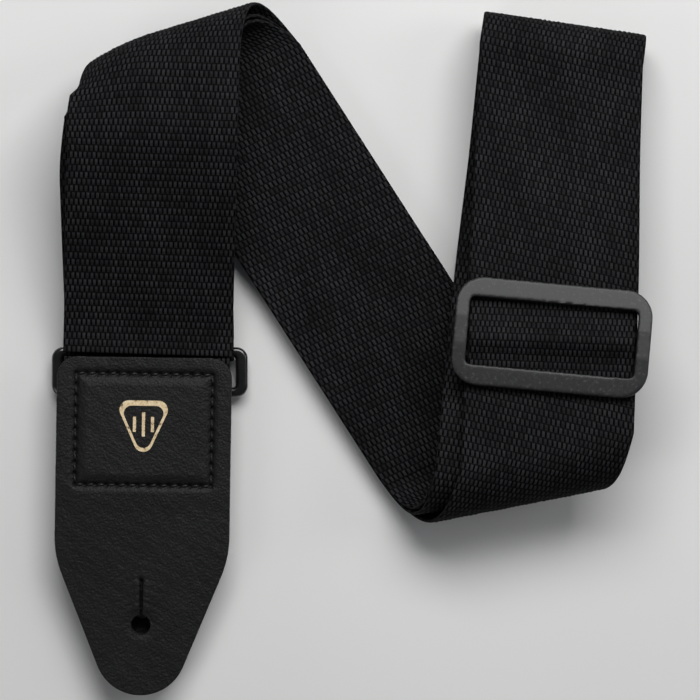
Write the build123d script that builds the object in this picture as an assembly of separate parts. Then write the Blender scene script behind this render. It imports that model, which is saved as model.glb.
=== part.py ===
from build123d import *
import math
import os

# Guitar strap: 49 mm wide webbing laid in a Z, two leather ends, a slider and a ring.
# +Z is up and the strap rests on z = 0. Millimetres and degrees throughout.

# ---- webbing -----------------------------------------------------------------
WEB_WIDTH = 49.0
WEB_THICK = 1.2
PLY_PITCH = 1.6            # from one ply to the next where they lie together
FLOOR_PLY_Z = 0.7          # middle of the ply that rests on the surface
BEND_RADIUS = 24.0         # gentle bends along a run

# ---- the three folds: where the outer surface turns, its angle in plan, radius ---
UPPER_LEFT = {"edge": (-58.0, 91.2), "angle": 17.0, "radius": 14.0}
LOWER = {"edge": (52.7, -44.2), "angle": 191.0, "radius": 14.0}
UPPER_RIGHT = {"edge": (61.5, 94.8), "angle": -8.1, "radius": 9.0}
INNER_GAP = 3.0            # extra room between the outer ply and the two inner plies

# ---- runs: a point on the centre line and the heading in plan ---------------------
FRONT_LINE = {"point": (-58.6, 0.0), "heading": 88.2}
RING_LINE = {"point": (-58.2, -1.0), "heading": 91.0}
CROSS_LINE = {"point": (9.6, 6.0), "heading": -57.3}
SLIDER_LINE = {"point": (57.7, 3.3), "heading": 87.8}
RETURN_LINE = {"point": (52.9, 3.3), "heading": 84.2}

# ---- leather ends -------------------------------------------------------------
LEATHER_WIDTH = 50.6
LEATHER_THICK = 1.6
FRONT_TOP = (-59.4, -2.0)  # middle of the front end's top edge
FRONT_TURN = -0.9          # the front end's turn in plan, about that point
TAB_WIDTH = 48.0           # of the webbing, squeezed into the front end's pocket
TAB_SIDESTEP = 0.6
FRONT_LENGTH = 98.1
REAR_LENGTH = 83.5
REAR_MIDDLE = -60.2        # middle of the rear end, across the strap
TONGUE_WIDTH = 44.6        # of the leather that turns round the ring
LINING_BOTTOM_Z = 7.3
LINING_THICK = 1.2
TAPER_ANGLE = 22.0         # of each side of the taper, off the strap's direction
TIP_RADIUS = 13.4
CORNER_RADIUS = 6.0
WAIST_RADIUS = 30.0        # where the straight side turns into the taper
BUTTON_HOLE_RADIUS = 2.8
BUTTON_HOLE_UP = 20.5      # hole centre above the tip
SLIT_LENGTH = 12.9
SLIT_WIDTH = 0.6
BOX_WIDTH = 39.5
BOX_HEIGHT = 32.2
BOX_DROP = 5.0             # stitched box below the top edge
STITCH_PITCH = 3.1
STITCH_SIZE = (2.3, 0.7, 0.4)

# ---- ring ----------------------------------------------------------------------
RING_CENTRE = (-58.2, -6.4)
RING_OUTER = (57.0, 14.5)
RING_BAR = 2.8
RING_Z = 3.6
RING_CORNER = 3.3
RING_END = 3.6             # width of each end, where a long bar is RING_BAR wide
RING_EDGE = 1.2

# ---- slider, in its own frame: x across, y along the webbing, z off the webbing ----
SLIDER_OUTER = (56.4, 31.2)
SLIDER_WALL = 4.0
SLIDER_OUTER_BAR = 5.8
PASSAGE_WIDTH = 50.8       # room for the webbing below the side walls
HUMP_WIDTH = 47.2          # of the webbing where it rises through the window
SLIDER_CORNER = 8.0
SLIDER_SKEW = -3.0
SLIDER_SIDESTEP = 0.0
OUTER_BAR_BOTTOM = 0.85
OUTER_BAR_TOP = 3.3
ARCH_TOP = 4.6
CENTRE_BAR_WIDTH = 6.0
CENTRE_BAR_THICK = 2.0
SEWN_LENGTH = 24.0
SLIDER_TRAVEL = (-1.5, 50.0)
RING_SHARE = -0.5          # ring travel for each millimetre of slider travel
RING_RUN_LEVEL = 18.0      # how far the two plies lie level above the ring
RETURN_LEVEL = 48.0        # how far the return run lies flat before the upper right fold

# ---- foil mark: a plain plectrum outline with three bars ------------------------
FOIL_WIDTH = 17.0
FOIL_THICK = 0.12
FACE_GAP = 0.05            # between parts that lie face to face

BIG = 400.0
PARTS = {}


def unit(angle):
    return Vector(math.cos(math.radians(angle)), math.sin(math.radians(angle)), 0)


def fold_frame(fold):
    """Plane on a fold's axis: x along the axis, y out to the turn, z up."""
    along = unit(fold["angle"])
    out = Vector(-along.Y, along.X, 0)
    reach = fold["radius"] + WEB_THICK / 2
    edge = Vector(*fold["edge"], 0)
    return Plane(origin=edge - out * reach + Vector(0, 0, axis_z(fold)), x_dir=along, z_dir=(0, 0, 1))


def axis_z(fold):
    return FLOOR_PLY_Z + fold["radius"]


def run_plane(line):
    """Plane on a run's centre line: x across it, y along it, z up."""
    along = unit(line["heading"])
    return Plane(origin=(*line["point"], 0), x_dir=(along.Y, -along.X, 0), z_dir=(0, 0, 1))


def crossing(line, fold, side=0.0):
    """Distance along a run, and place along the fold axis, where an edge meets the axis."""
    frame = fold_frame(fold)
    plane = run_plane(line)
    start = plane.origin + plane.x_dir * side
    start_y = frame.to_local_coords(start).Y
    step_y = frame.to_local_coords(start + plane.y_dir).Y - start_y
    distance = -start_y / step_y
    return distance, frame.to_local_coords(start + plane.y_dir * distance).X


def inside_of(fold):
    """Everything on the run side of a fold's axis."""
    return Pos(0, -BIG / 2, 0) * Box(BIG * 2, BIG, BIG)


def trim(solid, fold):
    return solid & (fold_frame(fold).location * inside_of(fold))


def section(points, thick, radius=BEND_RADIUS):
    """Face of a bent strip seen from its side, from its middle line."""
    upper = [(0, y, z + thick / 2) for y, z in points]
    lower = [(0, y, z - thick / 2) for y, z in points]
    if len(points) == 2:
        return make_face(Polyline(*upper, *reversed(lower), close=True))
    top = FilletPolyline(*upper, radius=radius)
    bottom = FilletPolyline(*lower, radius=radius)
    ends = [Line(upper[0], lower[0]), Line(upper[-1], lower[-1])]
    return make_face([*top.edges(), *bottom.edges(), *ends])


def strip(points, width=WEB_WIDTH, thick=WEB_THICK, radius=BEND_RADIUS):
    return extrude(section(points, thick, radius), amount=width / 2, both=True)


def run(line, points, folds):
    """A run of webbing along a line, cut off at the fold axes it meets."""
    solid = run_plane(line).location * strip(points)
    for fold in folds:
        solid = trim(solid, fold)
    return solid


def loop(fold, radius, low_line, high_line):
    """A half turn of webbing about a fold axis, between two runs."""
    corners = []
    for line, z in ((low_line, -radius), (high_line, radius)):
        hits = sorted(crossing(line, fold, side)[1] for side in (-WEB_WIDTH / 2, WEB_WIDTH / 2))
        corners.append([(x, z) for x in hits])
    (low_a, low_b), (high_a, high_b) = corners
    grow = (radius + WEB_THICK) / radius
    quad = [stretch(low_a, high_a, grow), stretch(low_b, high_b, grow),
            stretch(high_b, low_b, grow), stretch(high_a, low_a, grow)]
    sides = extrude(make_face(Polyline(*[(x, 0, z) for x, z in quad], close=True)), amount=BIG / 4, both=True)
    pipe = Circle(radius + WEB_THICK / 2) - Circle(radius - WEB_THICK / 2)
    tube = Rot(0, 90, 0) * extrude(pipe, amount=BIG / 2, both=True)
    half = tube & (Pos(0, BIG / 4, 0) * Box(BIG, BIG / 2, BIG / 2))
    return fold_frame(fold).location * (half & sides)


def stretch(start, end, grow):
    """The start of a line, moved out along it about the line's middle."""
    middle = ((start[0] + end[0]) / 2, (start[1] + end[1]) / 2)
    return tuple(m + (s - m) * grow for m, s in zip(middle, start))


def heights(fold, radius, upper):
    return axis_z(fold) + (radius if upper else -radius)


def ply_radius(fold, ply):
    """Radius of ply 0 (outer), 1 or 2 (inner) round a fold."""
    return fold["radius"] - (INNER_GAP + PLY_PITCH * (ply - 1) if ply else 0.0)


def descent(start, start_z, level_start, end, end_z, level_end):
    """Middle line that leaves one fold level, slopes, and reaches the next level."""
    spare = 20.0
    return [(start - spare, start_z), (start + level_start, start_z),
            (end - level_end, end_z), (end + spare, end_z)]


def slider_slope():
    """Start, end and heights of the outer ply between the lower and upper right folds."""
    low = crossing(SLIDER_LINE, LOWER)[0]
    high = crossing(SLIDER_LINE, UPPER_RIGHT)[0]
    return descent(low, heights(LOWER, LOWER["radius"], True), 7.5,
                   high, heights(UPPER_RIGHT, UPPER_RIGHT["radius"], True), 5.0)


def slider_frame():
    """Plane in the middle of the outer ply at the slider's rest place."""
    (y0, z0), (y1, z1) = slider_slope()[1:3]
    slope = (z1 - z0) / (y1 - y0)
    place = z0 + slope * (0 - y0)
    flat = run_plane(SLIDER_LINE)
    along = (flat.y_dir + Vector(0, 0, slope)).normalized()
    normal = flat.x_dir.cross(along)
    return Plane(origin=flat.origin + Vector(0, 0, place), x_dir=flat.x_dir, z_dir=normal)


def front_web_z():
    return LINING_BOTTOM_Z + LINING_THICK + FACE_GAP + WEB_THICK / 2


def make_outer_plies():
    """The ply that starts in the front leather end and runs to the upper right fold."""
    web_z = front_web_z()
    fold_at = crossing(FRONT_LINE, UPPER_LEFT)[0]
    top_z = heights(UPPER_LEFT, UPPER_LEFT["radius"], True)
    neck = FRONT_TOP[1] + 0.6
    points = [(neck, web_z), (6.0, web_z), (fold_at - 14.0, top_z), (fold_at + 20.0, top_z)]
    PARTS["webbing_front_run"] = run(FRONT_LINE, points, [UPPER_LEFT])
    level = [(-BIG / 3, FLOOR_PLY_Z), (BIG / 3, FLOOR_PLY_Z)]
    PARTS["webbing_cross_run_outer"] = run(CROSS_LINE, level, [UPPER_LEFT, LOWER])
    PARTS["webbing_slider_run"] = run(SLIDER_LINE, slider_slope(), [LOWER, UPPER_RIGHT])
    PARTS["webbing_upper_left_fold_outer"] = loop(UPPER_LEFT, UPPER_LEFT["radius"], CROSS_LINE, FRONT_LINE)
    PARTS["webbing_lower_fold_outer"] = loop(LOWER, LOWER["radius"], CROSS_LINE, SLIDER_LINE)
    PARTS["webbing_upper_right_fold_outer"] = loop(UPPER_RIGHT, UPPER_RIGHT["radius"], RETURN_LINE, SLIDER_LINE)


def make_inner_plies():
    """The two plies that run back from the upper right fold to the ring."""
    names = {1: "middle", 2: "inner"}
    for ply, name in names.items():
        left_radius = ply_radius(UPPER_LEFT, ply)
        low_radius = ply_radius(LOWER, ply)
        cross_z = heights(UPPER_LEFT, left_radius, False)
        level = [(-BIG / 3, cross_z), (BIG / 3, cross_z)]
        PARTS["webbing_cross_run_" + name] = run(CROSS_LINE, level, [UPPER_LEFT, LOWER])
        PARTS["webbing_upper_left_fold_" + name] = loop(UPPER_LEFT, left_radius, CROSS_LINE, RING_LINE)
        PARTS["webbing_lower_fold_" + name] = loop(LOWER, low_radius, CROSS_LINE, RETURN_LINE)
        low = crossing(RETURN_LINE, LOWER)[0]
        high = crossing(RETURN_LINE, UPPER_RIGHT)[0]
        floor_z = FLOOR_PLY_Z + (PLY_PITCH if ply == 1 else 0.0)
        points = descent(low, heights(LOWER, low_radius, True), 7.5, high, floor_z, RETURN_LEVEL)
        PARTS["webbing_return_run_" + name] = run(RETURN_LINE, points, [LOWER, UPPER_RIGHT])
        fold_at = crossing(RING_LINE, UPPER_LEFT)[0]
        side = 1 if ply == 1 else -1
        ring_z = RING_Z + side * ring_loop_radius()
        start = ring_bar_y(1) - RING_LINE["point"][1] - 2.0
        points = [(start, ring_z), (start + RING_RUN_LEVEL, ring_z),
                  (fold_at - 8.0, heights(UPPER_LEFT, left_radius, True)),
                  (fold_at + 20.0, heights(UPPER_LEFT, left_radius, True))]
        beyond_ring = Pos(0, ring_bar_y(1) + FACE_GAP + BIG / 2, 0) * Box(BIG, BIG, BIG)
        PARTS["webbing_ring_run_" + name] = run(RING_LINE, points, [UPPER_LEFT]) & beyond_ring
    inner = UPPER_RIGHT["radius"] - PLY_PITCH
    PARTS["webbing_upper_right_fold_inner"] = loop(UPPER_RIGHT, inner, RETURN_LINE, SLIDER_LINE)


def ring_bar_y(side):
    """Centre line of the ring's upper (1) or lower (-1) bar."""
    return RING_CENTRE[1] + side * (RING_OUTER[1] - RING_BAR) / 2


def ring_loop_radius():
    return RING_BAR / 2 + 0.2 + WEB_THICK / 2


def half_turn(radius, thick, width, direction):
    """Half a tube about the local x axis, open towards y = 0."""
    pipe = Circle(radius + thick / 2) - Circle(radius - thick / 2)
    tube = Rot(0, 90, 0) * extrude(pipe, amount=width / 2, both=True)
    return tube & (Pos(0, direction * BIG / 4, 0) * Box(BIG, BIG / 2, BIG))


def ring_moulding():
    """A flat rectangle with round-edged bars and wider ends."""
    width, height = RING_OUTER
    outline = RectangleRounded(width, height, RING_CORNER)
    window = RectangleRounded(width - 2 * RING_END, height - 2 * RING_BAR, 0.6)
    body = extrude(outline - window, amount=RING_BAR / 2, both=True)
    rims = body.edges().filter_by(lambda edge: abs(abs(edge.center().Z) - RING_BAR / 2) < 0.01)
    return fillet(rims, RING_EDGE)


def make_ring():
    ring = ring_moulding()
    PARTS["ring"] = Pos(*RING_CENTRE, RING_Z) * ring
    turn = half_turn(ring_loop_radius(), WEB_THICK, WEB_WIDTH, -1)
    PARTS["webbing_ring_loop"] = Pos(RING_CENTRE[0], ring_bar_y(1), RING_Z) * turn


def leather_outline(length):
    """Outline of a leather end: round shoulders, straight sides, then a taper to a round tip."""
    half = LEATHER_WIDTH / 2
    taper = math.radians(TAPER_ANGLE)
    point = length + TIP_RADIUS * (1 / math.sin(taper) - 1)
    waist = point - half / math.tan(taper)
    face = make_face(Polyline((half, 0), (half, -waist), (0, -point), (-half, -waist), (-half, 0), close=True))
    corners = face.vertices().sort_by(Axis.Y)
    face = fillet(corners[-2:], CORNER_RADIUS)
    face = fillet(face.vertices().sort_by(Axis.Y)[0], TIP_RADIUS)
    waist_corners = [v for v in face.vertices() if abs(v.Y + waist) < 0.01]
    return fillet(waist_corners, WAIST_RADIUS)


def button_slot(length, thick):
    """Button hole and the slit that opens it, as a cutter."""
    centre = -length + BUTTON_HOLE_UP
    hole = Pos(0, centre) * Circle(BUTTON_HOLE_RADIUS)
    slit = Pos(0, centre + SLIT_LENGTH / 2) * Rectangle(SLIT_WIDTH, SLIT_LENGTH)
    return extrude(hole + slit, amount=thick, both=True)


def stitch_box(width, height):
    """Short stitches round a rectangle that is centred on the origin."""
    stitches = []
    for length, across, turn in ((width, height, 0), (height, width, 90)):
        count = round(length / STITCH_PITCH)
        pitch = length / count
        for side in (-1, 1):
            for index in range(count):
                place = Pos(-length / 2 + pitch * (index + 0.5), side * across / 2, STITCH_SIZE[2] / 2)
                stitches.append(Rot(0, 0, turn) * place * Box(*STITCH_SIZE))
    return Compound(children=stitches)


def front_face_z():
    return LINING_BOTTOM_Z + LINING_THICK + WEB_THICK + 2 * FACE_GAP


def make_front_end():
    """Leather face, lining with a pocket for the webbing, stitching and foil mark."""
    spot = Pos(*FRONT_TOP, 0) * Rot(0, 0, FRONT_TURN)
    slot = button_slot(FRONT_LENGTH, 20.0)
    face_z = front_face_z()
    face = extrude(leather_outline(FRONT_LENGTH), amount=LEATHER_THICK) - slot
    PARTS["front_leather_face"] = spot * Pos(0, 0, face_z) * face
    depth = face_z - FACE_GAP - LINING_BOTTOM_Z
    lining = extrude(leather_outline(FRONT_LENGTH), amount=depth) - slot
    pocket_height = BOX_DROP + BOX_HEIGHT
    pocket = Pos(TAB_SIDESTEP, -pocket_height / 2, LINING_THICK + 5.0)
    lining -= pocket * Box(TAB_WIDTH + 0.2, pocket_height + 0.2, 10.0)
    PARTS["front_leather_lining"] = spot * Pos(0, 0, LINING_BOTTOM_Z) * largest(lining)
    web_z = front_web_z()
    tab = strip([(3.0 - pocket_height, web_z), (-FACE_GAP, web_z)], TAB_WIDTH)
    PARTS["webbing_front_tab"] = spot * Pos(TAB_SIDESTEP, 0, 0) * tab
    box_middle = Pos(0, -BOX_DROP - BOX_HEIGHT / 2, face_z + LEATHER_THICK)
    PARTS["front_box_stitching"] = spot * box_middle * stitch_box(BOX_WIDTH, BOX_HEIGHT)
    PARTS["foil_mark"] = spot * box_middle * plectrum_mark()


def largest(shape):
    return shape.solids().sort_by(SortBy.VOLUME)[-1]


def plectrum(width):
    """A plain plectrum: a rounded triangle that points down."""
    half = width / 2
    face = make_face(Polyline((-half, half), (half, half), (0, -half * 1.2), close=True))
    return fillet(face.vertices(), width * 0.16)


def plectrum_mark():
    outline = plectrum(FOIL_WIDTH) - plectrum(FOIL_WIDTH * 0.82)
    bars = [Pos(x, 1.6) * Rectangle(0.9, 7.0 - abs(x)) for x in (-2.6, 0, 2.6)]
    return Compound(children=[extrude(shape, amount=FOIL_THICK) for shape in (outline, *bars)])


def make_rear_end():
    """Leather that loops round the ring's lower bar, its tail sewn below it."""
    radius = RING_BAR / 2 + 0.15 + LEATHER_THICK / 2
    bar_y = ring_bar_y(-1)
    top_z = RING_Z + radius
    tail_z = RING_Z - radius
    pad_z = tail_z + LEATHER_THICK + FACE_GAP
    width = TONGUE_WIDTH
    tip = bar_y - REAR_LENGTH
    neck = [(-17.0, pad_z), (-13.0, pad_z), (-4.5, top_z), (0.0, top_z)]
    tongue = strip(neck, width, LEATHER_THICK, 4.0)
    tail = strip([(-40.0, tail_z), (0.0, tail_z)], width, LEATHER_THICK)
    turn = Pos(0, 0, RING_Z) * half_turn(radius, LEATHER_THICK, width, 1)
    spot = Pos(REAR_MIDDLE, bar_y, 0)
    pad_top = 15.0
    outline = leather_outline(REAR_LENGTH - pad_top)
    pad = Pos(0, -pad_top, pad_z - LEATHER_THICK / 2) * extrude(outline, amount=LEATHER_THICK)
    slot = Pos(0, tip - bar_y + FRONT_LENGTH, 0) * button_slot(FRONT_LENGTH, 20.0)
    body = tongue + tail + turn
    PARTS["rear_leather_end"] = spot * ((pad + body) - slot)
    middle = Pos(0, -28.0, pad_z + LEATHER_THICK / 2)
    PARTS["rear_box_stitching"] = spot * middle * stitch_box(38.0, 20.0)


def side_wall_profile():
    """Side view of the slider: an arch over the webbing and a keel that holds the bar."""
    half = SLIDER_OUTER[1] / 2
    keel = -PLY_PITCH - WEB_THICK / 2 - FACE_GAP - CENTRE_BAR_THICK
    points = [(0, -half, OUTER_BAR_BOTTOM), (0, -half, OUTER_BAR_TOP), (0, -4.0, ARCH_TOP),
              (0, 4.0, ARCH_TOP), (0, half, OUTER_BAR_TOP), (0, half, OUTER_BAR_BOTTOM),
              (0, 8.5, OUTER_BAR_BOTTOM), (0, 4.0, keel), (0, -4.0, keel), (0, -8.5, OUTER_BAR_BOTTOM)]
    return make_face(Polyline(*points, close=True))


def make_slider():
    """One moulding: two outer bars over the webbing, side walls and a centre bar under it."""
    length, height = SLIDER_OUTER
    outline = RectangleRounded(length, height, SLIDER_CORNER)
    window = RectangleRounded(length - 2 * SLIDER_WALL, height - 2 * SLIDER_OUTER_BAR, 1.5)
    slab = extrude(section([(-height, 0), (height, 0)], 12.0), amount=length / 2, both=True)
    plan = slab & extrude(outline - window, amount=20.0, both=True)
    body = plan & extrude(side_wall_profile(), amount=length / 2, both=True)
    passage = Pos(0, 0, OUTER_BAR_BOTTOM - 10.0) * Box(PASSAGE_WIDTH, BIG / 4, 20.0)
    bar_z = -PLY_PITCH - WEB_THICK / 2 - FACE_GAP - CENTRE_BAR_THICK / 2
    bar = Pos(0, 0, bar_z) * Box(length - SLIDER_WALL, CENTRE_BAR_WIDTH, CENTRE_BAR_THICK)
    body = (body - passage) + bar
    flat = slider_frame()
    spot = flat.location * Pos(SLIDER_SIDESTEP, 0, 0) * Rot(0, 0, SLIDER_SKEW)
    PARTS["slider"] = spot * body
    make_sewn_end(flat, bar_z)
    hump = [(-8.2, WEB_THICK / 2 + 0.55), (8.2, WEB_THICK / 2 + 0.55)]
    cover = strip(hump, HUMP_WIDTH, 0.6)
    PARTS["webbing_over_bar"] = flat.location * (cover + Pos(0, 0, 1.4) * Box(HUMP_WIDTH, 9.0, 1.2))


def make_sewn_end(flat, bar_z):
    """The webbing's end, turned round the centre bar and sewn to itself."""
    radius = CENTRE_BAR_THICK / 2 + FACE_GAP + WEB_THICK / 2
    edge = -CENTRE_BAR_WIDTH / 2 - 0.5
    turn = Pos(0, edge, bar_z) * half_turn(radius, WEB_THICK, WEB_WIDTH, -1)
    upper = Pos(0, 0, bar_z + radius) * strip([(edge, 0), (SEWN_LENGTH, 0)])
    lower_z = bar_z - radius
    meet_z = bar_z + radius - WEB_THICK - FACE_GAP
    points = [(edge, lower_z), (4.0, lower_z), (12.0, meet_z), (SEWN_LENGTH, meet_z)]
    PARTS["webbing_sewn_end"] = flat.location * (turn + upper + strip(points, radius=5.0))
    seam_z = meet_z - WEB_THICK / 2 - STITCH_SIZE[2]
    seam = Pos(0, 18.0, seam_z) * stitch_box(40.0, 6.0)
    PARTS["sewn_end_stitching"] = flat.location * seam


def make_slider_ply():
    """The ply under the slider run, from the sewn end to the upper right fold."""
    points = [(y, z - PLY_PITCH) for y, z in slider_slope()]
    ply = run(SLIDER_LINE, points, [LOWER, UPPER_RIGHT])
    start = slider_frame().location * Pos(0, SEWN_LENGTH + FACE_GAP + BIG / 2, 0)
    PARTS["webbing_slider_ply"] = ply & (start * Box(BIG, BIG, BIG))


def build():
    make_outer_plies()
    make_inner_plies()
    make_ring()
    make_front_end()
    make_rear_end()
    make_slider()
    make_slider_ply()


def centre_offset():
    """Plan shift that puts the origin under the middle of the whole strap."""
    box = Compound(children=[Compound(children=[*part.solids()]) for part in PARTS.values()]).bounding_box()
    return -(box.min.X + box.max.X) / 2, -(box.min.Y + box.max.Y) / 2


build()
SHIFT = centre_offset()
if __name__ == "__main__":
    os.makedirs("parts", exist_ok=True)
    for name, part in PARTS.items():
        solids = [Pos(*SHIFT, 0) * solid for solid in part.solids()]
        shape = solids[0] if len(solids) == 1 else Compound(children=solids)
        export_step(shape, "parts/" + name + ".step")
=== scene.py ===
import math

import bpy
import numpy as np
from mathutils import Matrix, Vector


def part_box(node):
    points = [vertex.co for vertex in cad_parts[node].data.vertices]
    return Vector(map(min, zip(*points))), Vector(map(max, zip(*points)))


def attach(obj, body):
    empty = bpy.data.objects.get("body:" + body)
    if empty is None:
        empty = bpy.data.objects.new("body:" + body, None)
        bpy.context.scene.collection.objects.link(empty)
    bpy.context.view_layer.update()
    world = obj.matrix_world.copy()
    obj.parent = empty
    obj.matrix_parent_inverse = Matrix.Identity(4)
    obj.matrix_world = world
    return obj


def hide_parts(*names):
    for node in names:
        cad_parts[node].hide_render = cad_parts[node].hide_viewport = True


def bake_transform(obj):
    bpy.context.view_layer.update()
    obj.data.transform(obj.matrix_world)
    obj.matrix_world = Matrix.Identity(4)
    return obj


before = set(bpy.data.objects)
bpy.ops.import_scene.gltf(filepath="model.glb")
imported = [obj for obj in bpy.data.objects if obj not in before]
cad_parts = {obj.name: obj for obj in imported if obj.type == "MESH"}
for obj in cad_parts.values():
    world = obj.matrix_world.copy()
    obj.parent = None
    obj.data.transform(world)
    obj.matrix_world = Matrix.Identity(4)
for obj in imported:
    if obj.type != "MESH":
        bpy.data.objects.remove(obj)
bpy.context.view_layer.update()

# ---- driving sizes, in millimetres, as the CAD part has them -----------------------
WEB_WIDTH = 49.0
WEB_THICK = 1.2
PLY_PITCH = 1.6
FLOOR_PLY_Z = 0.7
INNER_GAP = 3.0
UPPER_LEFT = {"edge": (-58.0, 91.2), "angle": 17.0, "radius": 14.0}
LOWER = {"edge": (52.7, -44.2), "angle": 191.0, "radius": 14.0}
UPPER_RIGHT = {"edge": (61.5, 94.8), "angle": -8.1, "radius": 9.0}
FRONT_LINE = {"point": (-58.6, 0.0), "heading": 88.2}
RING_LINE = {"point": (-58.2, -1.0), "heading": 91.0}
CROSS_LINE = {"point": (9.6, 6.0), "heading": -57.3}
SLIDER_LINE = {"point": (57.7, 3.3), "heading": 87.8}
RETURN_LINE = {"point": (52.9, 3.3), "heading": 84.2}
RETURN_LEVEL = 48.0
LEATHER_THICK = 1.6
FRONT_TOP = (-59.4, -2.0)
FRONT_TURN = -0.9
TAB_WIDTH, TAB_SIDESTEP = 48.0, 0.6
FRONT_LENGTH = 98.1
LINING_BOTTOM_Z = 7.3
LINING_THICK = 1.2
FACE_GAP = 0.05
BUTTON_HOLE_UP, SLIT_LENGTH = 20.5, 12.9
BOX_WIDTH, BOX_HEIGHT, BOX_DROP = 39.5, 32.2, 5.0
STITCH_PITCH = 3.1
RING_CENTRE = (-58.2, -6.4)
RING_HEIGHT, RING_BAR, RING_Z = 14.5, 2.8, 3.6
SEWN_LENGTH = 24.0
CENTRE_BAR_THICK, CENTRE_BAR_WIDTH = 2.0, 6.0

# ---- weave ---------------------------------------------------------------------------
KNUCKLE = 1.377            # across the webbing
ROW = 2.02                 # along the webbing
ROW_SWAY, ROW_SWAY_RATE = 0.06, 1.7
WEAVE_DEPTH = 0.46
SELVEDGE = 0.75            # how far in from each side the webbing rounds off
PLAIN_EDGE, EDGE_FADE = 0.4, 1.1   # no knuckles this close to a side, and how they fade in
KNUCKLE_SHAPE, ROW_SHAPE = 0.42, 0.5   # powers of a sine: lower is flatter with steeper sides
KNUCKLE_LEAST, KNUCKLE_VARY = 0.74, 0.40   # height shares: the lowest knuckle, and the spread
ROW_DIP = 0.75             # how far a knuckle falls away towards its row's sides
KNUCKLE_SINK = 0.62        # the share of the weave's depth that lies below the plain face
FACE_SHARE = 0.92          # the plain part of the thickness, below the knuckles
MM = 0.001

# ---- how the strap lies ----------------------------------------------------------------------
UNEVEN_LIFT = 0.22         # soft rise and fall of the whole strap
CORNER_DROP = 4.0          # the upper left fold's outer corner is drawn down
INNER_TUCK = 2.6           # its inner plies are drawn in
INNER_TUCK_TOP = 27.4      # only plies below this level are drawn in
CURL_NARROWING = 0.036     # the right leg looks narrower where it curls
CURL_DROOP = 0.25          # and its sides hang down
CURL_LEVEL = 16.0          # plies below this level curl less
FREE_END_DROOP = 2.2       # the front leather's free half sinks

ring_low, ring_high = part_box("ring")
SHIFT = np.array([(ring_low[0] + ring_high[0]) / 2 / MM - RING_CENTRE[0],
                  (ring_low[1] + ring_high[1]) / 2 / MM - RING_CENTRE[1], 0.0])


# ---- plan geometry of the strap ----------------------------------------------------------
def unit(angle):
    """A level direction, in degrees from x."""
    return np.array([math.cos(math.radians(angle)), math.sin(math.radians(angle)), 0.0])


def reverse(line):
    return {"point": line["point"], "heading": line["heading"] + 180.0}


def across(line):
    """The direction to the right of a line."""
    heading = unit(line["heading"])
    return np.array([heading[1], -heading[0], 0.0])


def origin(line):
    return np.array([*line["point"], 0.0])


def axis_z(fold):
    return FLOOR_PLY_Z + fold["radius"]


def fold_axes(fold):
    """Origin, direction along the axis and direction out to the turn."""
    along = unit(fold["angle"])
    out = np.array([-along[1], along[0], 0.0])
    base = np.array([*fold["edge"], 0.0]) - out * (fold["radius"] + WEB_THICK / 2)
    return base, along, out


def crossing(line, fold, side=0.0):
    """Distance along a run, and place along the fold axis, where an edge meets the axis."""
    base, along, out = fold_axes(fold)
    start = origin(line) + across(line) * side
    distance = -np.dot(start - base, out) / np.dot(unit(line["heading"]), out)
    return distance, np.dot(start + unit(line["heading"]) * distance - base, along)


def ply_radius(fold, ply):
    """A ply's radius round a fold: 0 is the outer ply, and 1 and 2 lie inside it."""
    return fold["radius"] - (INNER_GAP + PLY_PITCH * (ply - 1) if ply else 0.0)


def height(fold, radius, upper):
    return axis_z(fold) + (radius if upper else -radius)


def smooth_height(points, reach=9.0, step=0.25):
    """Height along a run: the run's corner points, eased into a soft curve."""
    ys = np.arange(points[0][0] - 2 * reach, points[-1][0] + 2 * reach, step)
    zs = np.interp(ys, [p[0] for p in points], [p[1] for p in points])
    width = int(reach / step)
    kernel = np.hanning(2 * width + 1)
    padded = np.pad(zs, width, mode="edge")
    return ys, np.convolve(padded, kernel / kernel.sum(), mode="valid")


def slider_slope():
    """Corner points (distance along the line, height) of the outer ply at the slider."""
    low = crossing(SLIDER_LINE, LOWER)[0]
    high = crossing(SLIDER_LINE, UPPER_RIGHT)[0]
    return [(low - 20.0, height(LOWER, LOWER["radius"], True)),
            (low + 7.5, height(LOWER, LOWER["radius"], True)),
            (high - 5.0, height(UPPER_RIGHT, UPPER_RIGHT["radius"], True)),
            (high + 20.0, height(UPPER_RIGHT, UPPER_RIGHT["radius"], True))]


def front_web_z():
    return LINING_BOTTOM_Z + LINING_THICK + FACE_GAP + WEB_THICK / 2


def front_slope():
    """Corner points of the run between the front leather and the upper left fold."""
    fold_at = crossing(FRONT_LINE, UPPER_LEFT)[0]
    top = height(UPPER_LEFT, UPPER_LEFT["radius"], True)
    return [(-40.0, front_web_z()), (6.0, front_web_z()),
            (fold_at - 14.0, top), (fold_at + 20.0, top)]


def return_slope(ply):
    """Corner points of an inner ply between the lower and upper right folds."""
    low = crossing(RETURN_LINE, LOWER)[0]
    high = crossing(RETURN_LINE, UPPER_RIGHT)[0]
    top = height(LOWER, ply_radius(LOWER, ply), True)
    floor = FLOOR_PLY_Z + (PLY_PITCH if ply == 1 else 0.0)
    return [(low - 20.0, top), (low + 7.5, top),
            (high - RETURN_LEVEL, floor), (high + 20.0, floor)]


def ring_slope(ply):
    """Corner points of an inner ply between the ring and the upper left fold."""
    fold_at = crossing(RING_LINE, UPPER_LEFT)[0]
    start = bar_y(1) - RING_LINE["point"][1]
    side = 1 if ply == 1 else -1
    ring_z = RING_Z + side * ring_loop_radius()
    top = height(UPPER_LEFT, ply_radius(UPPER_LEFT, ply), True)
    return [(start - 5.0, ring_z), (start + 16.0, ring_z),
            (fold_at - 8.0, top), (fold_at + 20.0, top)]


def bar_y(side):
    """Middle of the ring's upper (1) or lower (-1) bar."""
    return RING_CENTRE[1] + side * (RING_HEIGHT - RING_BAR) / 2


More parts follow.
